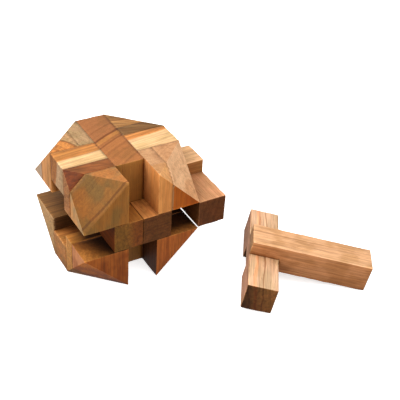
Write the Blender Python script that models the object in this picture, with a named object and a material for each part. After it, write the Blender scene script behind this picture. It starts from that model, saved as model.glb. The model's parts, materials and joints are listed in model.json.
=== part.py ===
"""A six-piece wooden burr puzzle, opened: one tee lies beside it and the other is half out.

The closed puzzle is a cube four sticks wide with its eight corners sliced off. Every length
is a whole number of half sticks, measured from the middle of the cube: X to the right,
Y to the back, Z up. The model stands on Z = 0, under the middle of the cube.

The six puzzle pieces are glued up from plain blanks, and each blank is an object here:
  front frame   post with a head, two top arms, four corner pieces of two blanks each
  back frame    post with a foot, two bottom arms, two back blocks, four corner pieces
  left bar and right bar, side by side in the middle, notched round both posts
  left tee and right tee, each a bar glued across a notched crossbar
"""

import math

import bmesh
import bpy
from mathutils import Vector

STICK = 0.022          # width of one stick
HALF = STICK / 2       # the puzzle's unit
REACH = 4              # from the middle to an outer face, in half sticks
CORNER_CUT = 9         # |x| + |y| + |z| on a sliced corner, in half sticks
FIT_GAP = 0.0003       # clearance between two faces that meet

RIGHT_TEE_OUT = 2      # how far the right tee is drawn out, in half sticks
LOOSE_TEE_X = 3.994 * STICK
LOOSE_TEE_Y = -3.573 * STICK
LOOSE_TEE_TURN = math.radians(-34.25)

BAR_LENGTH = 2 * REACH
CROSSBAR_INNER = 0     # a tee is measured along its bar from the crossbar's inner face
CROSSBAR_OUTER = -2
BAR_FAR_END = CROSSBAR_OUTER + BAR_LENGTH

WOODS = {
    "pale": (0.72, 0.50, 0.29),
    "golden": (0.52, 0.28, 0.12),
    "brown": (0.33, 0.17, 0.08),
    "red": (0.40, 0.17, 0.08),
    "olive": (0.36, 0.23, 0.12),
}
WOOD_ROUGHNESS = 0.5


# ---------------------------------------------------------------- woods and solids

def make_wood(name, colour):
    """One tone of oiled teak."""
    material = bpy.data.materials.new("teak_" + name)
    material.use_nodes = True
    surface = material.node_tree.nodes["Principled BSDF"]
    surface.inputs["Base Color"].default_value = (*colour, 1.0)
    surface.inputs["Roughness"].default_value = WOOD_ROUGHNESS
    surface.inputs["Metallic"].default_value = 0.0
    return material


def ease(value, inward):
    """A face's place in metres, moved inward by half the gap unless it is an outer face."""
    if abs(value) == REACH:
        return value * HALF
    return value * HALF + inward * FIT_GAP / 2


def ease_outline(outline):
    """The corners of a square-cornered outline, counter-clockwise, with its inner edges eased."""
    count = len(outline)
    eased = []
    for i in range(count):
        before, here, after = outline[i - 1], outline[i], outline[(i + 1) % count]
        point = [0.0, 0.0]
        for start, end in ((before, here), (here, after)):
            along = 0 if start[1] == end[1] else 1
            across = 1 - along
            forward = 1 if end[along] > start[along] else -1
            inward = forward if along == 0 else -forward
            point[across] = ease(here[across], inward)
        eased.append(point)
    return eased


def rectangle(low, high):
    """A rectangle's four corners, counter-clockwise."""
    return [low, (high[0], low[1]), high, (low[0], high[1])]


def add_object(name, mesh_builder, wood, parent):
    mesh = bpy.data.meshes.new(name)
    mesh_builder.to_mesh(mesh)
    mesh_builder.free()
    mesh.materials.append(wood)
    solid = bpy.data.objects.new(name, mesh)
    solid.parent = parent
    bpy.context.collection.objects.link(solid)
    return solid


def extrude_outline(outline, axis, low, high):
    """A solid whose outline, in the plane across the axis, runs from low to high along it.

    The outline's two numbers are the other two axes, in the cyclic order X, Y, Z.
    """
    first, second = (axis + 1) % 3, (axis + 2) % 3
    start, end = ease(low, 1), ease(high, -1)
    builder = bmesh.new()
    corners = []
    for pair in ease_outline(outline):
        place = Vector()
        place[axis] = start
        place[first] = pair[0]
        place[second] = pair[1]
        corners.append(builder.verts.new(place))
    floor = builder.faces.new(corners)
    raised = bmesh.ops.extrude_face_region(builder, geom=[floor])["geom"]
    shift = Vector()
    shift[axis] = end - start
    moved = [item for item in raised if isinstance(item, bmesh.types.BMVert)]
    bmesh.ops.translate(builder, vec=shift, verts=moved)
    bmesh.ops.recalc_face_normals(builder, faces=builder.faces)
    return builder


def block(low, high):
    """A plain block between two opposite corners."""
    return extrude_outline(rectangle(low[:2], high[:2]), 2, low[2], high[2])


def slice_corner(builder, side):
    """Cuts off what lies beyond the corner plane, on the side that the signs give."""
    normal = Vector(side).normalized()
    on_plane = normal * (CORNER_CUT * HALF / math.sqrt(3))
    geometry = builder.verts[:] + builder.edges[:] + builder.faces[:]
    bmesh.ops.bisect_plane(
        builder, geom=geometry, plane_co=on_plane, plane_no=normal, clear_outer=True
    )
    open_edges = [edge for edge in builder.edges if edge.is_boundary]
    bmesh.ops.holes_fill(builder, edges=open_edges)
    bmesh.ops.recalc_face_normals(builder, faces=builder.faces)
    return builder


def span(sign, near, far):
    """The low and high ends of a stretch on one side of the middle."""
    return (near, far) if sign > 0 else (-far, -near)


# ---------------------------------------------------------------- pieces

def make_corner_piece(name, side, split_axis, woods, parent):
    """A corner of the cube: a half-stick slab on the inner side and a full-stick block outside."""
    for suffix, near, far, wood in (("slab", 1, 2, woods[0]), ("block", 2, REACH, woods[1])):
        ends = [span(sign, 1, REACH) for sign in side]
        ends[split_axis] = span(side[split_axis], near, far)
        low, high = zip(*ends)
        solid = slice_corner(block(low, high), side)
        add_object(f"{name}_{suffix}", solid, wood, parent)


def make_front_post(wood, parent):
    """A half-stick post whose head runs over the middle to the back face."""
    outline = [(-2, -4), (-1, -4), (-1, 2), (4, 2), (4, 4), (-2, 4)]
    add_object("front_post", extrude_outline(outline, 0, -1, 1), wood, parent)


def make_back_post(wood, parent):
    """A half-stick post whose foot reaches forward under the middle, and which stops under
    the front post's head."""
    outline = [(-1, -4), (2, -4), (2, 2), (1, 2), (1, -2), (-1, -2)]
    add_object("back_post", extrude_outline(outline, 0, -1, 1), wood, parent)


def make_back_blocks(top_wood, bottom_wood, parent):
    """The two blocks that fill the back between the corner pieces, under the head."""
    top = rectangle((2, 1), (4, 2))
    add_object("back_top_block", extrude_outline(top, 0, -1, 1), top_wood, parent)
    bottom = rectangle((2, -4), (4, -1))
    add_object("back_bottom_block", extrude_outline(bottom, 0, -1, 1), bottom_wood, parent)


def make_arms(name, low_z, high_z, woods, parent):
    """The two sticks left and right of a post's head or foot."""
    for sign, side, wood in ((-1, "left", woods[0]), (1, "right", woods[1])):
        low_x, high_x = span(sign, 1, REACH)
        solid = block((low_x, -1, low_z), (high_x, 1, high_z))
        add_object(f"{name}_{side}_arm", solid, wood, parent)


def make_key_path(parent):
    """The cutter for the channel that the left tee's bar takes under both bars."""
    slack = FIT_GAP / 2
    builder = bmesh.new()
    bmesh.ops.create_cube(builder, size=1.0)
    size = (6 * HALF, 2 * HALF + 2 * slack, 2 * HALF + slack)
    bmesh.ops.scale(builder, vec=size, verts=builder.verts)
    bmesh.ops.translate(builder, vec=(0, 0, slack - size[2] / 2), verts=builder.verts)
    mesh = bpy.data.meshes.new("key_path_cutter")
    builder.to_mesh(mesh)
    builder.free()
    cutter = bpy.data.objects.new("key_path_cutter", mesh)
    cutter.parent = parent
    cutter.hide_render = True
    cutter.display_type = "WIRE"
    bpy.context.collection.objects.link(cutter)
    return cutter


def make_middle_bar(name, sign, cutter, wood, parent):
    """A bar along Y, notched on its inner side round each post and below for the key path."""
    inner, notch, outer = 0, sign, 2 * sign
    outline = [
        (inner, -4), (outer, -4), (outer, 4), (inner, 4),
        (inner, 2), (notch, 2), (notch, 1), (inner, 1),
        (inner, -1), (notch, -1), (notch, -2), (inner, -2),
    ]
    if sign < 0:
        outline.reverse()
    bar = add_object(name, extrude_outline(outline, 2, -1, 1), wood, parent)
    channel = bar.modifiers.new("key_path", "BOOLEAN")
    channel.operation = "DIFFERENCE"
    channel.solver = "EXACT"
    channel.object = cutter


def make_tee(name, bar_outline, woods, parent):
    """A bar glued across the middle of a crossbar, which is notched on its other side.

    Along the bar is X, from the crossbar's inner face, and the crossbar stands on Z = 0.
    """
    crossbar = [(-4, 0), (-1, 0), (-1, 1), (1, 1), (1, 0), (4, 0), (4, 2), (-4, 2)]
    solid = extrude_outline(crossbar, 0, CROSSBAR_OUTER, CROSSBAR_INNER)
    add_object(name + "_crossbar", solid, woods[0], parent)
    # an outline across Y lists Z first, then X
    add_object(name + "_bar", extrude_outline(bar_outline, 1, -1, 1), woods[1], parent)


def make_left_tee(woods):
    """The loose tee. Its bar is a full stick, cut to half where it lies on the crossbar.

    It rests on the crossbar's inner lower edge and on the far lower edge of its bar.
    """
    tilt = math.atan2(1, BAR_FAR_END)
    lowest = FIT_GAP / 2 * math.cos(tilt)
    axis = add_axis("left_tee", (LOOSE_TEE_X, LOOSE_TEE_Y, -lowest))
    axis.rotation_euler = (0, tilt, LOOSE_TEE_TURN)
    bar = [
        (2, CROSSBAR_OUTER), (3, CROSSBAR_OUTER), (3, BAR_FAR_END),
        (1, BAR_FAR_END), (1, CROSSBAR_INNER), (2, CROSSBAR_INNER),
    ]
    make_tee("left_tee", bar, woods, axis)


def make_right_tee(woods):
    """The tee that is half out. Its bar is a half stick thick, to pass over both bars."""
    inner_face = (2 + RIGHT_TEE_OUT) * HALF
    axis = add_axis("right_tee", (inner_face, 0, (REACH - 1) * HALF))
    axis.rotation_euler = (0, 0, math.pi)
    bar = rectangle((2, CROSSBAR_OUTER), (3, BAR_FAR_END))
    make_tee("right_tee", bar, woods, axis)


def add_axis(name, place):
    """An empty on a moving piece's axis, which carries its blanks."""
    axis = bpy.data.objects.new(name + "_axis", None)
    axis.location = place
    bpy.context.collection.objects.link(axis)
    return axis


def main():
    for old in list(bpy.data.objects):
        bpy.data.objects.remove(old, do_unlink=True)

    wood = {name: make_wood(name, colour) for name, colour in WOODS.items()}
    pale, golden, brown = wood["pale"], wood["golden"], wood["brown"]
    red, olive = wood["red"], wood["olive"]
    middle = (0, 0, REACH * HALF)

    frames = add_axis("frames", middle)
    make_front_post(golden, frames)
    make_back_post(brown, frames)
    make_arms("top", 2, 4, (pale, pale), frames)
    make_arms("bottom", -4, -2, (golden, golden), frames)
    make_back_blocks(golden, brown, frames)
    corners = (
        ("front_left_top", (-1, -1, 1), 1, (red, olive)),
        ("front_right_top", (1, -1, 1), 0, (pale, golden)),
        ("back_left_top", (-1, 1, 1), 0, (olive, pale)),
        ("back_right_top", (1, 1, 1), 1, (brown, olive)),
        ("front_left_bottom", (-1, -1, -1), 1, (golden, red)),
        ("front_right_bottom", (1, -1, -1), 1, (golden, red)),
        ("back_left_bottom", (-1, 1, -1), 0, (golden, brown)),
        ("back_right_bottom", (1, 1, -1), 1, (brown, golden)),
    )
    for name, side, split_axis, woods in corners:
        make_corner_piece(name, side, split_axis, woods, frames)

    for name, sign, tone in (("left_bar", -1, olive), ("right_bar", 1, brown)):
        axis = add_axis(name, middle)
        make_middle_bar(name, sign, make_key_path(axis), tone, axis)

    make_left_tee((golden, pale))
    make_right_tee((brown, golden))


main()
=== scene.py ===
"""The looks of the wooden burr puzzle: eased, worn sticks of oiled teak on a white table."""

import json
import math

import bmesh
import bpy
from mathutils import Matrix, Vector, noise
from mathutils.bvhtree import BVHTree


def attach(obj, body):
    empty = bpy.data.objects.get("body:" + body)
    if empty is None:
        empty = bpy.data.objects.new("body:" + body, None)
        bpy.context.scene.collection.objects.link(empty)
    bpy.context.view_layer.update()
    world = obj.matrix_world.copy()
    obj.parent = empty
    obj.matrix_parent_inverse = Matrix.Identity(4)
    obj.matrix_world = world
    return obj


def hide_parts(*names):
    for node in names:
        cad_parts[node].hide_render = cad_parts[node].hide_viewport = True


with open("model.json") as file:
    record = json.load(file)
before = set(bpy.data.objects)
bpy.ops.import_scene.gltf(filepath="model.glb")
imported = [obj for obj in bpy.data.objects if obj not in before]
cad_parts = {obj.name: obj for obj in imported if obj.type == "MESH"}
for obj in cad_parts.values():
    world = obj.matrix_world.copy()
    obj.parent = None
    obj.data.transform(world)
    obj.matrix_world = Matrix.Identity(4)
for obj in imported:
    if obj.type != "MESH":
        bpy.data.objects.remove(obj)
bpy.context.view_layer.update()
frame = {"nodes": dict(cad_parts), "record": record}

# ---------------------------------------------------------------- sizes, in metres

STICK = 0.022
LOOSE_TEE_TURN = math.radians(-34.25)
MM = 1000.0                # the wood's patterns are in millimetres

EDGE_EASE = 0.0006         # the sanded edges of a stick
GLUED_REACH = 0.0008       # a blank this close is glued on
GLUE_CLOSING = 0.45        # the part of the gap that each side closes
GLUE_SAMPLES = (0.2, 0.5, 0.8)  # the places along an edge where glue is looked for
EDGE_STEPS = 3             # facets round an eased edge
EDGE_WEAR = 0.00035        # how far an edge is worn beyond its easing
WEAR_PATCH = 0.006         # the size of a worn patch
WEAR_BIAS = 0.35           # raises the share of the edges that is worn
BEND_GAIN = 8              # how soon a bend in the surface counts as an edge
RUB_AND_HIGHLIGHT_BIAS = 0.6             # how pale an edge is painted, as wear and a painted highlight, where its wear begins
LEAST_RUB_AND_HIGHLIGHT = 0.15
SEED_STEP = (1.7, 0.9, 2.3)
FACE_HOLLOW = 0.00006      # how far a sawn face dips
HOLLOW_PATCH = 0.02        # the size of a dip
MESH_CELL = 0.0022         # the spacing of the planes that cut the surface and let it bend
WELD = 0.000001
CLOSEST_CUTS = 0.00006     # vertices nearer than this become one
SQUARE = 0.01              # the cosine below which two faces are square to each other
FLAT = 0.01                # radians: CAD faces that meet flatter than this are one
SHARP = math.radians(20)   # an edge that is eased bends more than this
CREASE = math.radians(50)  # an edge that is shaded as a corner bends more than this
TURNED_OVER = 0.5          # the cosine of the furthest turn that a face may make
UNFOLD_ROUNDS = 8

X, Y, Z = WORLD_AXES = (Vector((1, 0, 0)), Vector((0, 1, 0)), Vector((0, 0, 1)))
FRONT, LEFT = -Y, -X

# ---------------------------------------------------------------- the view

AIM = Vector((0, 0, 0.044))
AZIMUTH = math.radians(-32.46)
ELEVATION = math.radians(35.55)
ROLL = math.radians(3.99)
DISTANCE = 0.6238
AIM_LEFT = 0.0608          # the puzzle's middle, left of the view's middle
AIM_UP = 0.0013            # and above it
LENS = 77.83               # millimetres
SENSOR = 36.0

# ---------------------------------------------------------------- the light

WHITE = (1.0, 1.0, 1.0, 1.0)
SKY_LOW = 0.42             # the world's strength below the horizon
SKY_HIGH = 0.82            # and overhead
SKY_LOW_AT = -0.2          # the heights, on a unit sphere, where it has these strengths
SKY_HIGH_AT = 0.6
TABLE_RADIUS = 12.0
TABLE_SIDES = 64
TABLE_COLOUR = (0.9, 0.9, 0.9, 1.0)
TABLE_ROUGHNESS = 0.9
TABLE_SPECULAR = 0.1
TABLE_GLOW = 0.62          # a light table, which leaves only the shadows of contact
KEY_PLACE = (-0.52, 0.30, 1.2)
KEY_SIZE = 0.85
KEY_POWER = 15.5
FILL_PLACE = (0.2, -1.0, 1.0)
FILL_SIZE = 1.0
FILL_POWER = 9.0
SIDE_PLACE = (-1.2, 0.1, 0.55)
SIDE_SIZE = 0.8
SIDE_POWER = 8.5


# ---------------------------------------------------------------- shapes

def stick_axes(bm):
    """Three square directions of a piece: its two largest square-set faces and their cross."""
    faces = sorted(bm.faces, key=lambda face: -face.calc_area())
    first = faces[0].normal.copy()
    for face in faces:
        if abs(face.normal.dot(first)) < SQUARE:
            second = face.normal.copy()
            return first, second, first.cross(second)
    raise ValueError("no square-set faces")


def reach_along(verts, axis):
    """The lowest and the highest place of some vertices along an axis."""
    places = [vert.co.dot(axis) for vert in verts]
    return min(places), max(places)


def cut_into_cells(bm, axes):
    """Cuts the surface by evenly spaced planes, and joins corners that come too close."""
    for axis in axes:
        low, high = reach_along(bm.verts, axis)
        count = max(2, round((high - low) / MESH_CELL))
        for i in range(1, count):
            everything = bm.verts[:] + bm.edges[:] + bm.faces[:]
            place = low + (high - low) * i / count
            bmesh.ops.bisect_plane(bm, geom=everything, dist=WELD, plane_co=axis * place,
                                   plane_no=axis)
    bmesh.ops.remove_doubles(bm, verts=bm.verts, dist=CLOSEST_CUTS)
    bmesh.ops.dissolve_degenerate(bm, dist=WELD, edges=bm.edges)


def glued_blanks(node_name):
    """A search tree of the blanks on the same body, to find the edges that are glued."""
    bodies = frame["record"]["behaviour"]["bodies"]
    body = next(nodes for nodes in bodies.values() if node_name in nodes)
    points, triangles = [], []
    for other in body:
        if other != node_name:
            mesh = frame["nodes"][other].data
            triangles += [[len(points) + i for i in face.vertices] for face in mesh.polygons]
            points += [vert.co.copy() for vert in mesh.vertices]
    return BVHTree.FromPolygons(points, triangles) if points else None


def is_glued(point, glued):
    """Whether a point lies against another blank."""
    return glued is not None and glued.find_nearest(point, GLUED_REACH)[0] is not None


def is_glued_edge(edge, glued):
    """Whether most of an edge lies against another blank."""
    first, last = (vert.co for vert in edge.verts)
    hits = sum(is_glued(first.lerp(last, part), glued) for part in GLUE_SAMPLES)
    return hits > len(GLUE_SAMPLES) / 2


def ease_edges(bm, glued):
    """Rounds the free edges."""
    sharp = [e for e in bm.edges if e.is_convex and e.calc_face_angle(0.0) > SHARP]
    free = [e for e in sharp if not is_glued_edge(e, glued)]
    bmesh.ops.bevel(bm, geom=free, offset=EDGE_EASE, segments=EDGE_STEPS, profile=0.5,
                    affect="EDGES", clamp_overlap=True)


def close_glue_lines(bm, glued):
    """Brings a glued face almost up to the blank that it is glued to."""
    for vert in bm.verts:
        if is_glued(vert.co, glued):
            vert.co = vert.co.lerp(glued.find_nearest(vert.co)[0], GLUE_CLOSING)


def wear(bm, seed, glued):
    """Wears the edges unevenly and lets the flat faces dip a little, always inward."""
    offset = Vector([seed * step for step in SEED_STEP])
    worn = bm.verts.layers.float.new("worn")
    bm.normal_update()
    for vert in bm.verts:
        bend = max((1 - a.normal.dot(b.normal) for a in vert.link_faces for b in vert.link_faces))
        on_edge = 0.0 if is_glued(vert.co, glued) else min(1.0, bend * BEND_GAIN)
        patch = noise.noise(vert.co / WEAR_PATCH + offset) + WEAR_BIAS
        hollow = noise.noise(vert.co / HOLLOW_PATCH + offset) * 0.5 + 0.5
        depth = EDGE_WEAR * on_edge * max(0.0, patch) + FACE_HOLLOW * (1 - on_edge) * hollow
        vert.co -= vert.normal * depth
        # this mask paints the edges paler in the material: partly wear, partly a painted highlight
        vert[worn] = on_edge * min(1.0, max(LEAST_RUB_AND_HIGHLIGHT, RUB_AND_HIGHLIGHT_BIAS + patch))


def keep_inside(bm, axes, limits):
    """Brings back any vertex that stands outside the CAD blank's faces."""
    for vert in bm.verts:
        for axis, (low, high) in zip(axes, limits):
            place = vert.co.dot(axis)
            vert.co += axis * (min(max(place, low), high) - place)


def unfold(bm, unworn, facings):
    """Puts back the corners of any small face that has been turned over."""
    bm.verts.index_update()
    for _ in range(UNFOLD_ROUNDS):
        bm.normal_update()
        for face, facing in zip(bm.faces, facings):
            if face.normal.dot(facing) < TURNED_OVER:
                for vert in face.verts:
                    vert.co = unworn[vert.index]


def make_stick(node_name, seed):
    """A visible copy of one CAD blank, with eased and worn edges."""
    source = frame["nodes"][node_name]
    bm = bmesh.new()
    bm.from_mesh(source.data)
    bmesh.ops.remove_doubles(bm, verts=bm.verts, dist=WELD)
    bmesh.ops.dissolve_limit(bm, angle_limit=FLAT, verts=bm.verts, edges=bm.edges)
    axes = stick_axes(bm) if node_name.startswith("left_tee") else WORLD_AXES
    limits = [reach_along(bm.verts, axis) for axis in axes]
    glued = glued_blanks(node_name)
    ease_edges(bm, glued)
    cut_into_cells(bm, axes)
    bmesh.ops.triangulate(bm, faces=bm.faces)
    bm.normal_update()
    unworn = [vert.co.copy() for vert in bm.verts]
    facings = [face.normal.copy() for face in bm.faces]
    wear(bm, seed, glued)
    keep_inside(bm, axes, limits)
    if glued:
        close_glue_lines(bm, glued)
    unfold(bm, unworn, facings)
    mesh = bpy.data.meshes.new(node_name + "_wood")
    bm.to_mesh(mesh)
    bm.free()
    mesh.shade_smooth()
    mesh.set_sharp_from_angle(angle=CREASE)
    stick = bpy.data.objects.new(node_name + "_wood", mesh)
    bpy.context.collection.objects.link(stick)
    even = stick.modifiers.new("even_shading", "WEIGHTED_NORMAL")
    even.keep_sharp = True
    return stick, axes


# ---------------------------------------------------------------- wood

class Graph:
    """A short way to write a material's nodes."""

    def __init__(self, material):
        self.nodes = material.node_tree.nodes
        self.links = material.node_tree.links

    def add(self, kind, **settings):
        node = self.nodes.new(kind)
        for name, value in settings.items():
            setattr(node, name, value)
        return node

    def feed(self, node, socket, value):
        if isinstance(value, bpy.types.NodeSocket):
            self.links.new(value, node.inputs[socket])
        else:
            node.inputs[socket].default_value = value

    def math(self, operation, *values, clamp=False):
        node = self.add("ShaderNodeMath", operation=operation, use_clamp=clamp)
        for i, value in enumerate(values):
            self.feed(node, i, value)
        return node.outputs[0]

    def vector(self, operation, *values):
        node = self.add("ShaderNodeVectorMath", operation=operation)
        for i, value in enumerate(values):
            self.feed(node, i, value)
        return node.outputs["Value" if operation in ("DOT_PRODUCT", "LENGTH") else "Vector"]

    def step(self, value, low, high, to_low=0.0, to_high=1.0):
        """A smooth step from low to high."""
        node = self.add("ShaderNodeMapRange", interpolation_type="SMOOTHSTEP")
        for i, number in enumerate((value, low, high, to_low, to_high)):
            self.feed(node, i, number)
        return node.outputs[0]

    def mix(self, factor, first, second, blend="MIX"):
        node = self.add("ShaderNodeMix", data_type="RGBA", blend_type=blend)
        self.feed(node, 0, factor)
        self.feed(node, 6, first)
        self.feed(node, 7, second)
        return node.outputs[2]

    def noise(self, place, scale, detail=2.0, roughness=0.5):
        """Noise whose grains are 1 / scale long on each axis, in millimetres."""
        stretched = self.vector("MULTIPLY", place, scale)
        node = self.add("ShaderNodeTexNoise")
        self.feed(node, "Vector", stretched)
        self.feed(node, "Scale", 1.0)
        self.feed(node, "Detail", detail)
        self.feed(node, "Roughness", roughness)
        return node.outputs["Fac"]

    def ramp(self, value, *stops):
        """A curve through some places and their levels."""
        node = self.add("ShaderNodeValToRGB")
        elements = node.color_ramp.elements
        while len(elements) < len(stops):
            elements.new(0.5)
        for element, (place, level) in zip(elements, stops):
            element.position = place
            element.color = (level, level, level, 1.0)
        self.feed(node, 0, value)
        return node.outputs[0]


# tints, which multiply a colour
LATE_TINT = (0.62, 0.52, 0.42)      # the dark end of a ring, against its early wood
SAP_LATE_TINT = (0.84, 0.76, 0.62)
STREAK_TINT = (0.66, 0.58, 0.5)
CUT_RING_TINT = (0.55, 0.48, 0.42)  # rings stand out more on cross-cut faces
PORE_TINT = (0.5, 0.42, 0.36)
# the tint of the painted shade in the recesses
PAINTED_RECESS_SHADE_TINT = (0.42, 0.30, 0.14)
# the tint of the paler edges: partly wear, partly a painted highlight
EDGE_WEAR_AND_HIGHLIGHT_TINT = (1.75, 1.9, 2.1)
EARLY_LIFT = 1.12                   # early wood, against the tone
SAP_LIFT = 1.08                     # early sapwood, against its colour

# noises, in grains to the millimetre: twice across the fibres, then along them
RING_SWINGS = (((0.05, 0.05, 0.015), 9.0), ((0.16, 0.16, 0.05), 2.2))  # and their reach, mm
STREAK_NOISE = (0.28, 0.28, 0.012)
FIGURE_NOISE = (0.75, 0.75, 0.03)
FIBRE_NOISE = (3.0, 3.0, 0.08)
PORE_NOISE = (2.6, 2.6, 0.16)
SPECK_NOISE = (0.5, 0.5, 0.22)
PATCH_NOISE = (0.09, 0.09, 0.06)

# a year's ring, from its start to its end, and how the years differ
YEAR_CURVE = ((0.0, 0.25), (0.12, 0.0), (0.6, 0.3), (0.9, 1.0), (1.0, 0.25))
YEAR_LEAST = 0.3
YEAR_SPREAD = 0.7
YEAR_DRIFT = 1.6
YEAR_DRIFT_SCALE = 0.6

# smooth steps: where each begins, where it ends and, for some, from which level to which
SAP_BORDER = 0.9                    # millimetres on either side of the sapwood's edge
BAND_CORE, BAND_RIM = 0.3, 0.7      # parts of a band's width
STREAK_STEP = (0.5, 0.68)
FIGURE_STEP = (0.3, 0.7)
FIBRE_STEP = (0.25, 0.75, 0.86, 1.14)
PORE_STEP = (0.66, 0.74)
CUT_STEP = (0.3, 0.85)
SPECK_STEP = (0.3, 0.7, 0.88, 1.12)
FACING_STEP = (0.75, 0.95)
PATCH_STEP = (0.42, 0.62)

FIGURE_DEPTH = 0.22
PORE_DEPTH = 0.8
SPECK_DEPTH = 0.8
# how far, and with how many samples, the painted recess shade looks for nearby surfaces
RECESS_REACH = 0.02                 # metres
RECESS_SAMPLES = 8
# how strongly and how sharply the edges are painted paler, partly as wear and partly as a painted
# highlight
EDGE_PALENESS = 0.6
EDGE_FALL = 1.6
ROUGHNESS = 0.44                    # of the smoothest fibre
FIBRE_ROUGHNESS = 0.18
PORE_ROUGHNESS = 0.15
SPECULAR = 0.2
BUMP_STRENGTH = 0.25
BUMP_HEIGHT = 0.0002                # metres
FIBRE_HEIGHT = 0.4                  # against a pore's depth
SEED_SHIFT = (37.0, 11.0, 53.0)
UPRIGHT = 0.8                       # the cosine beyond which a grain counts as upright


def rgba(colour, factor=1.0):
    return (*(channel * factor for channel in colour), 1.0)


def multiplied(g, factor, colour, tint):
    """The colour, tinted where the factor is 1."""
    return g.mix(factor, colour, g.mix(1.0, colour, rgba(tint), "MULTIPLY"))


def shaded(g, colour, level):
    """The colour, made lighter or darker by a number that varies over the surface."""
    grey = g.add("ShaderNodeCombineColor")
    for i in range(3):
        g.feed(grey, i, level)
    return g.mix(1.0, colour, grey.outputs[0], "MULTIPLY")


def place_in_grain(g, along, pith):
    """A point's place in millimetres from the pith: two numbers across the grain, one along."""
    helper = Z if abs(along.z) < UPRIGHT else X
    across = along.cross(helper).normalized()
    upright = along.cross(across)
    place = g.add("ShaderNodeTexCoord").outputs["Object"]
    place = g.vector("SUBTRACT", place, tuple(pith))
    in_grain = g.add("ShaderNodeCombineXYZ")
    for i, direction in enumerate((across, upright, along)):
        g.feed(in_grain, i, g.vector("DOT_PRODUCT", place, tuple(direction * MM)))
    return in_grain.outputs[0]


def ring_radius(g, place, seeded, wander):
    """The distance from the pith, as the rings wander slowly along the stick."""
    radius = g.vector("LENGTH", g.vector("MULTIPLY", place, (1.0, 1.0, 0.0)))
    for scale, reach in RING_SWINGS:
        swing = g.math("SUBTRACT", g.noise(seeded, scale), 0.5)
        radius = g.math("ADD", radius, g.math("MULTIPLY", swing, reach * wander))
    return radius


def late_wood(g, radius, ring):
    """How dark a ring is at this radius: each year darkens slowly and ends sharply."""
    phase = g.math("DIVIDE", radius, ring)
    uneven = g.add("ShaderNodeTexNoise", noise_dimensions="1D")
    g.feed(uneven, "W", g.math("MULTIPLY", phase, YEAR_DRIFT_SCALE))
    g.feed(uneven, "Detail", 1.0)
    phase = g.math("ADD", phase, g.math("MULTIPLY", uneven.outputs["Fac"], YEAR_DRIFT))
    year = g.add("ShaderNodeTexWhiteNoise", noise_dimensions="1D")
    g.feed(year, "W", g.math("FLOOR", phase))
    late = g.ramp(g.math("FRACT", phase), *YEAR_CURVE)
    weight = g.math("MULTIPLY_ADD", year.outputs["Value"], YEAR_SPREAD, YEAR_LEAST)
    return g.math("MULTIPLY", late, weight)


def looking(g, facing, direction):
    """1 on the faces that look along a direction."""
    toward = g.vector("DOT_PRODUCT", facing, tuple(Vector(direction).normalized()))
    return g.step(toward, *FACING_STEP)


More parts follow.
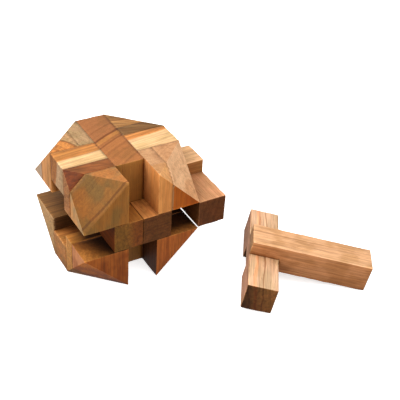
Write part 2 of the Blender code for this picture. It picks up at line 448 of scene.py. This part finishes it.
def make_wood(name, tone, grain, pith, ring=4.0, ring_depth=0.5, wander=1.0, figure=1.0,
              end=(0.8, 0.78, 0.72), face_tints_and_painted_light=(), sap=None, bands=(), stains_and_painted_shade=(),
              drift=(0.84, 0.88, 0.82), streak=0.5, mottle=1.0, seed=0.0):
    """Teak, as a solid pattern that runs through the piece.

    grain is the direction of the fibres, pith the point in metres round which the rings lie,
    ring their spacing in millimetres, end the tint of cross-cut faces, and the face tints the
    tints of faces that look along a direction, partly the wood's own colour and partly painted
    light and shade: painted shade on walls in the recesses and in cracks, and a painted pale
    sheen on left faces. sap is a colour and the radius in millimetres beyond which it replaces
    the tone. bands are bold rings, each a radius, a width and a tint. The staining tints deepen
    on faces that look along a direction, from one point to another: some are a stain in the
    wood, and some are painted shade deep in the channels and a painted contact shadow.
    drift is the tint of the broad patches, streak the strength of the mineral streaks, figure
    that of the grain's lines, and mottle that of a cut face's specks.
    """
    material = bpy.data.materials.new(name)
    material.use_nodes = True
    g = Graph(material)
    surface = g.nodes["Principled BSDF"]

    along = Vector(grain).normalized()
    place = place_in_grain(g, along, pith)
    seeded = g.vector("ADD", place, tuple(seed * shift for shift in SEED_SHIFT))
    radius = ring_radius(g, place, seeded, wander)
    late = g.math("MULTIPLY", late_wood(g, radius, ring), ring_depth)

    early_tone = rgba(tone, EARLY_LIFT)
    late_tone = rgba([channel * tint for channel, tint in zip(tone, LATE_TINT)])
    colour = g.mix(late, early_tone, late_tone)
    if sap:
        sap_colour, sap_radius = sap
        beyond = g.step(radius, sap_radius - SAP_BORDER, sap_radius + SAP_BORDER)
        sap_late = [channel * tint for channel, tint in zip(sap_colour, SAP_LATE_TINT)]
        sapwood = g.mix(late, rgba(sap_colour, SAP_LIFT), rgba(sap_late))
        colour = g.mix(beyond, colour, sapwood)
    for band_radius, width, tint in bands:
        far = g.math("ABSOLUTE", g.math("SUBTRACT", radius, band_radius))
        within = g.step(far, width * BAND_CORE, width * BAND_RIM, 1.0, 0.0)
        colour = multiplied(g, within, colour, tint)

    # broad streaks of minerals, the figure of the grain, fine fibres, open pores
    streaks = g.noise(seeded, STREAK_NOISE, detail=3.0)
    colour = multiplied(g, g.step(streaks, *STREAK_STEP, 0.0, streak), colour, STREAK_TINT)
    lines = g.noise(seeded, FIGURE_NOISE, detail=2.0, roughness=0.6)
    depth = FIGURE_DEPTH * figure
    colour = shaded(g, colour, g.step(lines, *FIGURE_STEP, 1.0 - depth, 1.0 + depth))
    fibres = g.noise(seeded, FIBRE_NOISE, detail=3.0, roughness=0.6)
    colour = shaded(g, colour, g.step(fibres, *FIBRE_STEP))
    pore = g.step(g.noise(seeded, PORE_NOISE, detail=1.0), *PORE_STEP)
    colour = multiplied(g, g.math("MULTIPLY", pore, PORE_DEPTH), colour, PORE_TINT)

    # cross-cut faces are mottled, and faces that look along given directions get their own tints:
    # partly the wood's own colour, partly painted light and shade
    facing = g.add("ShaderNodeTexCoord").outputs["Normal"]
    square_on = g.math("ABSOLUTE", g.vector("DOT_PRODUCT", facing, tuple(along)))
    cut = g.step(square_on, *CUT_STEP)
    colour = multiplied(g, cut, colour, end)
    specks = g.step(g.noise(seeded, SPECK_NOISE, detail=3.0), *SPECK_STEP)
    speckled = g.math("MULTIPLY", cut, SPECK_DEPTH * mottle)
    colour = g.mix(speckled, colour, shaded(g, colour, specks))
    colour = multiplied(g, g.math("MULTIPLY", cut, late), colour, CUT_RING_TINT)
    # the face tints: partly the wood's own colour, partly painted light and shade
    for direction, tint in face_tints_and_painted_light:
        colour = multiplied(g, looking(g, facing, direction), colour, tint)

    # the tone drifts over the piece, some faces get a stain and some get painted shade (deep in
    # the channels, and a painted contact shadow at one foot), and the recesses get painted shade
    patches = g.noise(seeded, PATCH_NOISE, detail=2.0)
    colour = multiplied(g, g.step(patches, *PATCH_STEP), colour, drift)
    # some of these are a stain in the wood, and some are painted shade deep in the channels and a
    # painted contact shadow
    for direction, start, finish, tint in stains_and_painted_shade:
        reach = finish - start
        point = g.add("ShaderNodeTexCoord").outputs["Object"]
        from_start = g.vector("SUBTRACT", point, tuple(start))
        way = g.vector("DOT_PRODUCT", from_start, tuple(reach / reach.length_squared))
        stain_and_shade_mask = g.math("MULTIPLY", looking(g, facing, direction), g.step(way, 0.0, 1.0))
        colour = multiplied(g, stain_and_shade_mask, colour, tint)
    # painted shade in the recesses: the colour darkens and warms where nearby surfaces close in
    hollow = g.add("ShaderNodeAmbientOcclusion", samples=RECESS_SAMPLES)
    g.feed(hollow, "Distance", RECESS_REACH)
    painted_recess_shade = g.math("SUBTRACT", 1.0, hollow.outputs["AO"], clamp=True)
    colour = multiplied(g, painted_recess_shade, colour, PAINTED_RECESS_SHADE_TINT)

    # edges are painted paler in patches: partly wear, partly a painted highlight
    worn = g.add("ShaderNodeAttribute", attribute_name="worn").outputs["Fac"]
    rubbed_and_highlit = g.math("MULTIPLY", g.math("POWER", worn, EDGE_FALL), EDGE_PALENESS)
    colour = multiplied(g, rubbed_and_highlit, colour, EDGE_WEAR_AND_HIGHLIGHT_TINT)

    g.feed(surface, "Base Color", colour)
    rough = g.math("MULTIPLY_ADD", fibres, FIBRE_ROUGHNESS, ROUGHNESS)
    rough = g.math("ADD", rough, g.math("MULTIPLY", pore, PORE_ROUGHNESS))
    g.feed(surface, "Roughness", rough)
    g.feed(surface, "Specular IOR Level", SPECULAR)
    bump = g.add("ShaderNodeBump")
    g.feed(bump, "Strength", BUMP_STRENGTH)
    g.feed(bump, "Distance", BUMP_HEIGHT)
    g.feed(bump, "Height", g.math("SUBTRACT", g.math("MULTIPLY", fibres, FIBRE_HEIGHT), pore))
    g.feed(surface, "Normal", bump.outputs[0])
    return material


# ---------------------------------------------------------------- which wood each blank is, and the painted light and shade on some faces

CREAM = (0.56, 0.335, 0.16)
PALE_PEACH = (0.55, 0.335, 0.2)
PEACH = (0.55, 0.30, 0.152)
SALMON = (0.49, 0.225, 0.105)
PALE_TAN = (0.41, 0.205, 0.088)
TAN = (0.315, 0.178, 0.08)
ORANGE = (0.40, 0.150, 0.035)
GOLDEN = (0.275, 0.098, 0.025)
AMBER = (0.32, 0.118, 0.021)
RUST = (0.34, 0.080, 0.012)
RED_BROWN = (0.20, 0.062, 0.014)
UMBER = (0.165, 0.078, 0.023)
OLIVE = (0.255, 0.118, 0.035)
FAWN = (0.37, 0.17, 0.06)
DARK_FAWN = (0.34, 0.15, 0.056)
PALE_SALMON = (0.51, 0.277, 0.138)
DULL_GOLD = (0.25, 0.09, 0.026)

TEE_FRONT = Vector((math.sin(LOOSE_TEE_TURN), -math.cos(LOOSE_TEE_TURN), 0))
TEE_LEFT = Vector((-math.cos(LOOSE_TEE_TURN), -math.sin(LOOSE_TEE_TURN), 0))
FRONT_RIGHT_FACET = Vector((1, -1, 1))
FRONT_LEFT_FACET = Vector((-1, -1, 1))
FRONT_LEFT_FOOT = Vector((-1, -1, -1))


def at(x, y, z):
    """A point given in sticks from the middle of the puzzle."""
    return Vector((x, y, z + 2)) * STICK


def sticks(count):
    """A length given in sticks, in the millimetres of the wood's patterns."""
    return count * STICK * MM


FRONT_LEFT_GLOW = ((FRONT_LEFT_FACET, at(-1.3, 0, 0), at(-1.9, 0, 0), (1.0, 0.84, 0.5)),)
TEE_PLACE = at(3.994, -3.573, 0)    # where the loose tee lies
# painted shade deep in the channel at the front right: the tops of the bottom blocks there darken
# towards the inside
FRONT_RIGHT_PAINTED_SHADE = ((Z, at(1, -1.95, -1), at(1, -1.55, -1), (0.12, 0.09, 0.06)),)

BLANKS = {
    "front_post": dict(
        tone=GOLDEN, grain=Z, pith=at(3.5, -6.46, 0), ring=5, ring_depth=0.45, wander=0.18,
        end=(1, 1, 1), streak=0.1, figure=0.3, mottle=0.35, face_tints_and_painted_light=((FRONT, (1.25, 1.45, 1.2)),),
        sap=(DULL_GOLD, sticks(8.03)),
        bands=((sticks(8), 1.8, (0.55, 0.45, 0.34)), (sticks(7.87), 4.0, (1.2, 1.28, 1.15)),
               (sticks(7.65), 1.4, (0.66, 0.58, 0.5)))),
    "back_top_block": dict(tone=GOLDEN, grain=X, pith=at(0, 4.5, 0), ring=5),
    "back_post": dict(tone=GOLDEN, grain=Z, pith=at(2, 3, 0)),
    "back_bottom_block": dict(tone=UMBER, grain=Z, pith=at(-2, 4, 0)),
    "top_left_arm": dict(
        tone=ORANGE, grain=(1, 0.07, 0), pith=at(0, 3.2, 2.2), ring=6, wander=0.35, streak=0.2,
        sap=(CREAM, sticks(3.1)), end=(0.69, 0.68, 0.76)),
    "top_right_arm": dict(
        tone=ORANGE, grain=(1, 0.1, 0), pith=at(0, 3.2, 2.2), ring=6, wander=0.35, streak=0.2,
        sap=(CREAM, sticks(3.08)), end=(0.69, 0.68, 0.76)),
    # its top darkens towards the inside of the bottom left channel: painted shade
    "bottom_left_arm": dict(
        tone=ORANGE, grain=X, pith=at(0, 2, -3), end=(0.9, 0.95, 1.1), drift=(0.75, 0.85, 0.9),
        stains_and_painted_shade=((Z, at(-1.9, 0, -1), at(-1.35, 0, -1), (0.3, 0.22, 0.14)),)),
    "bottom_right_arm": dict(tone=TAN, grain=X, pith=at(0, -3, -3)),
    # the LEFT tint paints a pale sheen on the left face
    "front_left_top_slab": dict(
        tone=RED_BROWN, grain=(1, -0.25, 0.1), pith=at(0, 0, 3.0), ring=3, ring_depth=0.8,
        end=(1.5, 1.7, 2.0),
        face_tints_and_painted_light=((FRONT_LEFT_FACET, (0.62, 0.42, 0.25)), (LEFT, (1.1, 1.25, 1.55)))),
    # the LEFT tint paints a pale sheen on the left face
    "front_left_top_block": dict(
        tone=AMBER, grain=Z, pith=at(-1.2, 4, 0), ring=9, ring_depth=0.3, streak=0.15, wander=0.2,
        end=(0.95, 0.95, 1.2), drift=(0.72, 0.9, 1.15), figure=0.45, seed=18.2,
        bands=((sticks(5.91), 1.2, (0.66, 0.6, 0.54)),), stains_and_painted_shade=FRONT_LEFT_GLOW,
        face_tints_and_painted_light=((FRONT_LEFT_FACET, (0.6, 0.63, 0.5)), (LEFT, (1.35, 1.7, 3.1)),
              (FRONT, (0.88, 0.9, 0.86)))),
    "front_right_top_slab": dict(
        tone=FAWN, grain=Z, pith=at(0.7, -5, 0), end=(0.95, 1.0, 1.08),
        figure=0.5, mottle=0.2, ring_depth=0.3, drift=(0.92, 0.88, 0.86),
        sap=(PALE_TAN, sticks(3.55)),
        face_tints_and_painted_light=((FRONT_RIGHT_FACET, (1.68, 1.75, 1.75)), (FRONT, (1.6, 1.4, 1.05)),
              (LEFT, (1.45, 1.2, 0.9)))),
    "front_right_top_block": dict(
        tone=DARK_FAWN, grain=Z, pith=at(2.05, -2.05, 0), ring=7, wander=0.3,
        end=(0.97, 0.97, 1), figure=0.5, mottle=0.2, ring_depth=0.3, drift=(0.92, 0.9, 0.88),
        sap=(PALE_TAN, sticks(0.58)),
        bands=((sticks(2.0), 4.0, (0.82, 0.76, 0.7)),),
        face_tints_and_painted_light=((FRONT_RIGHT_FACET, (1.62, 1.85, 2.2)), (FRONT, (0.93, 0.45, 0.09)))),
    "back_left_top_slab": dict(
        tone=TAN, grain=Z, pith=at(-2.1, 0.3, 0), ring=7, ring_depth=0.3, mottle=0.5,
        end=(0.97, 1.02, 1.08), figure=0.8),
    # the LEFT tint paints a pale sheen on the left face
    "back_left_top_block": dict(
        tone=ORANGE, grain=Z, pith=at(-2.1, 0.3, 0), ring=5, wander=0.3, end=(1.15, 1.12, 1.1),
        sap=(TAN, sticks(1.0)), bands=((sticks(1.0), 1.8, (0.62, 0.52, 0.45)),),
        face_tints_and_painted_light=((LEFT, (1.12, 1.32, 1.95)),)),
    "back_right_top_slab": dict(
        tone=UMBER, grain=(1, -0.3, 0), pith=at(1, 2, 3), ring=3, ring_depth=0.9, streak=0.9),
    "back_right_top_block": dict(
        tone=OLIVE, grain=(1, -0.3, 0), pith=at(1, 2, 3), ring=3, ring_depth=1.0, streak=0.9,
        figure=1.4),
    # its top darkens towards the inside of the bottom left channel: painted shade
    "front_left_bottom_slab": dict(
        tone=AMBER, grain=X, pith=at(0, 1, -3), end=(1.3, 1.5, 2.0),
        stains_and_painted_shade=((Z, at(-1.95, 0, -1), at(-1.35, 0, -1), (0.08, 0.06, 0.04)),)),
    # painted light and shade on this foot: its top darkens towards the inside of the channel
    # (painted shade), its lower facet darkens towards the table (a painted contact shadow), and
    # the LEFT tint paints a pale sheen on its left face
    "front_left_bottom_block": dict(
        tone=RED_BROWN, grain=Z, pith=at(-3, -4, 0), ring=8, ring_depth=0.2, streak=0.15,
        end=(1.35, 1.6, 1.3), drift=(0.7, 0.6, 0.5),
        stains_and_painted_shade=((Z, at(-1.85, -1.9, -1), at(-1.05, -1.5, -1), (0.07, 0.055, 0.035)),
                (FRONT_LEFT_FOOT, at(0, 0, -1.7), at(0, 0, -2), (0.4, 0.32, 0.25))),
        face_tints_and_painted_light=((FRONT, (1.4, 1.2, 0.75)), (LEFT, (2.0, 2.5, 4.2)),
              (FRONT_LEFT_FOOT, (2.1, 1.7, 0.3)))),
    # the LEFT tints of this blank and the next paint shade on the inner wall of the recess
    "front_right_bottom_slab": dict(
        tone=GOLDEN, grain=X, pith=at(0, 1, -3), stains_and_painted_shade=FRONT_RIGHT_PAINTED_SHADE,
        face_tints_and_painted_light=((LEFT, (0.3, 0.3, 0.3)),)),
    "front_right_bottom_block": dict(
        tone=RUST, grain=Z, pith=at(0, -5, 0), ring=6, streak=0.7, end=(0.95, 1.5, 2.2),
        stains_and_painted_shade=FRONT_RIGHT_PAINTED_SHADE, face_tints_and_painted_light=((LEFT, (0.3, 0.35, 0.4)), (FRONT, (0.95, 1.05, 1.2)))),
    "back_left_bottom_slab": dict(tone=TAN, grain=Z, pith=at(-2, 4, 0), end=(0.6, 0.5, 0.4)),
    # the top and front tints paint shade on the top and the wall inside the channel
    "back_left_bottom_block": dict(
        tone=TAN, grain=X, pith=at(0, 3, -3), ring=5, ring_depth=0.5, end=(1.18, 1.16, 1.07),
        face_tints_and_painted_light=((Z, (0.5, 0.38, 0.22)), (FRONT, (0.42, 0.3, 0.2))), streak=0.35),
    "back_right_bottom_slab": dict(tone=UMBER, grain=X, pith=at(0, 2, -4)),
    "back_right_bottom_block": dict(tone=GOLDEN, grain=Z, pith=at(3, 4, 0)),
    # the LEFT tint paints shade on the side in the channel, and the X tint paints shade on the
    # side in the crack against the right bar
    "left_bar": dict(
        tone=AMBER, grain=Y, pith=at(-3.5, 0, -0.6), ring=3.5, end=(0.58, 0.62, 0.5),
        figure=0.8, stains_and_painted_shade=((FRONT, at(-0.6, 0, 0), at(-0.2, 0, 0), (0.9, 0.62, 0.6)),),
        face_tints_and_painted_light=((LEFT, (0.42, 0.25, 0.15)), (X, (0.4, 0.32, 0.26)))),
    # the LEFT tint paints shade on the side in the crack against the left bar, and the top tint
    # paints the top, which lies in the recess, lighter
    "right_bar": dict(
        tone=ORANGE, grain=Y, pith=at(0.8, 0, -3.0), ring=2.6, ring_depth=0.7,
        end=(0.3, 0.25, 0.2), figure=0.9, face_tints_and_painted_light=((Z, (1.2, 1.25, 1.5)), (LEFT, (0.4, 0.32, 0.26)))),
    # the LEFT tint paints shade on the left side, which lies in deep shade
    "right_tee_crossbar": dict(
        tone=SALMON, grain=Y, pith=at(6, 0, -0.5), ring=5, ring_depth=0.6,
        end=(0.24, 0.16, 0.1), figure=0.6, face_tints_and_painted_light=((LEFT, (0.35, 0.25, 0.15)),)),
    "right_tee_bar": dict(
        tone=PEACH, grain=X, pith=at(0, 2, 2), ring_depth=0.35, figure=0.8,
        face_tints_and_painted_light=((FRONT, (0.7, 0.52, 0.31)),)),
    "left_tee_crossbar": dict(
        tone=PALE_PEACH, grain=None, pith=at(9, -7, -1.5), ring=5, ring_depth=0.65,
        end=(0.36, 0.22, 0.09), figure=0.9,
        bands=((sticks(6.38), 1.0, (0.62, 0.52, 0.45)), (sticks(6.62), 2.2, (1.2, 0.95, 0.8)),
               (sticks(6.85), 1.3, (0.78, 0.7, 0.62))),
        stains_and_painted_shade=((TEE_FRONT, TEE_PLACE, TEE_PLACE + TEE_LEFT * STICK, (0.28, 0.26, 0.2)),),
        face_tints_and_painted_light=((TEE_LEFT, (0.72, 0.56, 0.52)),)),
    "left_tee_bar": dict(
        tone=PALE_SALMON, grain=None, pith=at(6, -6, -5), ring=3, ring_depth=0.3,
        drift=(0.8, 0.76, 0.66),
        end=(0.54, 0.48, 0.36), figure=0.8, face_tints_and_painted_light=((TEE_FRONT, (0.86, 0.67, 0.53)),)),
}


def long_axis(node_name, axes):
    """The direction in which a blank is longest."""
    limits = [reach_along(frame["nodes"][node_name].data.vertices, axis) for axis in axes]
    lengths = [high - low for low, high in limits]
    return axes[lengths.index(max(lengths))]


def make_puzzle():
    """Every blank, on its own body and with its own wood."""
    bodies = frame["record"]["behaviour"]["bodies"]
    for body, nodes in bodies.items():
        for node_name in nodes:
            seed = list(BLANKS).index(node_name) + 1
            stick, axes = make_stick(node_name, seed)
            look = {"seed": seed, **BLANKS[node_name]}
            if look["grain"] is None:
                look["grain"] = long_axis(node_name, axes)
            stick.data.materials.clear()
            stick.data.materials.append(make_wood(node_name + "_teak", **look))
            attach(stick, body)
            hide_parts(node_name)


# ---------------------------------------------------------------- table, lights and camera

def make_table():
    """The white table. It lights nothing: the world's lower half stands in for its bounce."""
    bm = bmesh.new()
    bmesh.ops.create_circle(bm, cap_ends=True, segments=TABLE_SIDES, radius=TABLE_RADIUS)
    mesh = bpy.data.meshes.new("table")
    bm.to_mesh(mesh)
    bm.free()
    material = bpy.data.materials.new("table_white")
    material.use_nodes = True
    surface = material.node_tree.nodes["Principled BSDF"]
    surface.inputs["Base Color"].default_value = TABLE_COLOUR
    surface.inputs["Roughness"].default_value = TABLE_ROUGHNESS
    surface.inputs["Specular IOR Level"].default_value = TABLE_SPECULAR
    surface.inputs["Emission Color"].default_value = WHITE
    surface.inputs["Emission Strength"].default_value = TABLE_GLOW
    mesh.materials.append(material)
    table = bpy.data.objects.new("table", mesh)
    table.visible_diffuse = False
    table.visible_glossy = False
    bpy.context.collection.objects.link(table)


def make_light(name, place, size, power):
    """A square soft box that faces the puzzle."""
    lamp = bpy.data.lights.new(name, "AREA")
    lamp.size = size
    lamp.energy = power
    light = bpy.data.objects.new(name, lamp)
    light.location = place
    light.rotation_euler = (AIM - Vector(place)).to_track_quat("-Z", "Y").to_euler()
    bpy.context.collection.objects.link(light)


def make_world():
    """A white studio: bright overhead, dimmer towards and below the horizon."""
    world = bpy.data.worlds.new("studio")
    world.use_nodes = True
    nodes, links = world.node_tree.nodes, world.node_tree.links
    direction = nodes.new("ShaderNodeTexCoord")
    parts = nodes.new("ShaderNodeSeparateXYZ")
    brightness = nodes.new("ShaderNodeMapRange")
    brightness.inputs["From Min"].default_value = SKY_LOW_AT
    brightness.inputs["From Max"].default_value = SKY_HIGH_AT
    brightness.inputs["To Min"].default_value = SKY_LOW
    brightness.inputs["To Max"].default_value = SKY_HIGH
    links.new(direction.outputs["Generated"], parts.inputs[0])
    links.new(parts.outputs["Z"], brightness.inputs["Value"])
    links.new(brightness.outputs[0], nodes["Background"].inputs["Strength"])
    nodes["Background"].inputs["Color"].default_value = WHITE
    bpy.context.scene.world = world


def make_surroundings():
    make_world()
    bpy.context.scene.view_settings.view_transform = "Standard"
    make_light("key", KEY_PLACE, KEY_SIZE, KEY_POWER)
    make_light("fill", FILL_PLACE, FILL_SIZE, FILL_POWER)
    make_light("side", SIDE_PLACE, SIDE_SIZE, SIDE_POWER)


def make_camera():
    """Looks down on the puzzle from its front left, with the loose tee at the right."""
    back = Vector((math.sin(AZIMUTH) * math.cos(ELEVATION),
                   -math.cos(AZIMUTH) * math.cos(ELEVATION),
                   math.sin(ELEVATION)))
    level = Vector((math.cos(AZIMUTH), math.sin(AZIMUTH), 0))
    steep = back.cross(level)
    right = level * math.cos(ROLL) + steep * math.sin(ROLL)
    up = steep * math.cos(ROLL) - level * math.sin(ROLL)
    lens = bpy.data.cameras.new("camera")
    lens.lens = LENS
    lens.sensor_width = SENSOR
    camera = bpy.data.objects.new("camera", lens)
    turn = Matrix((right, up, back)).transposed().to_4x4()
    place = AIM + back * DISTANCE + right * AIM_LEFT - up * AIM_UP
    camera.matrix_world = Matrix.Translation(place) @ turn
    bpy.context.collection.objects.link(camera)
    bpy.context.scene.camera = camera


make_puzzle()
make_table()
make_surroundings()
make_camera()
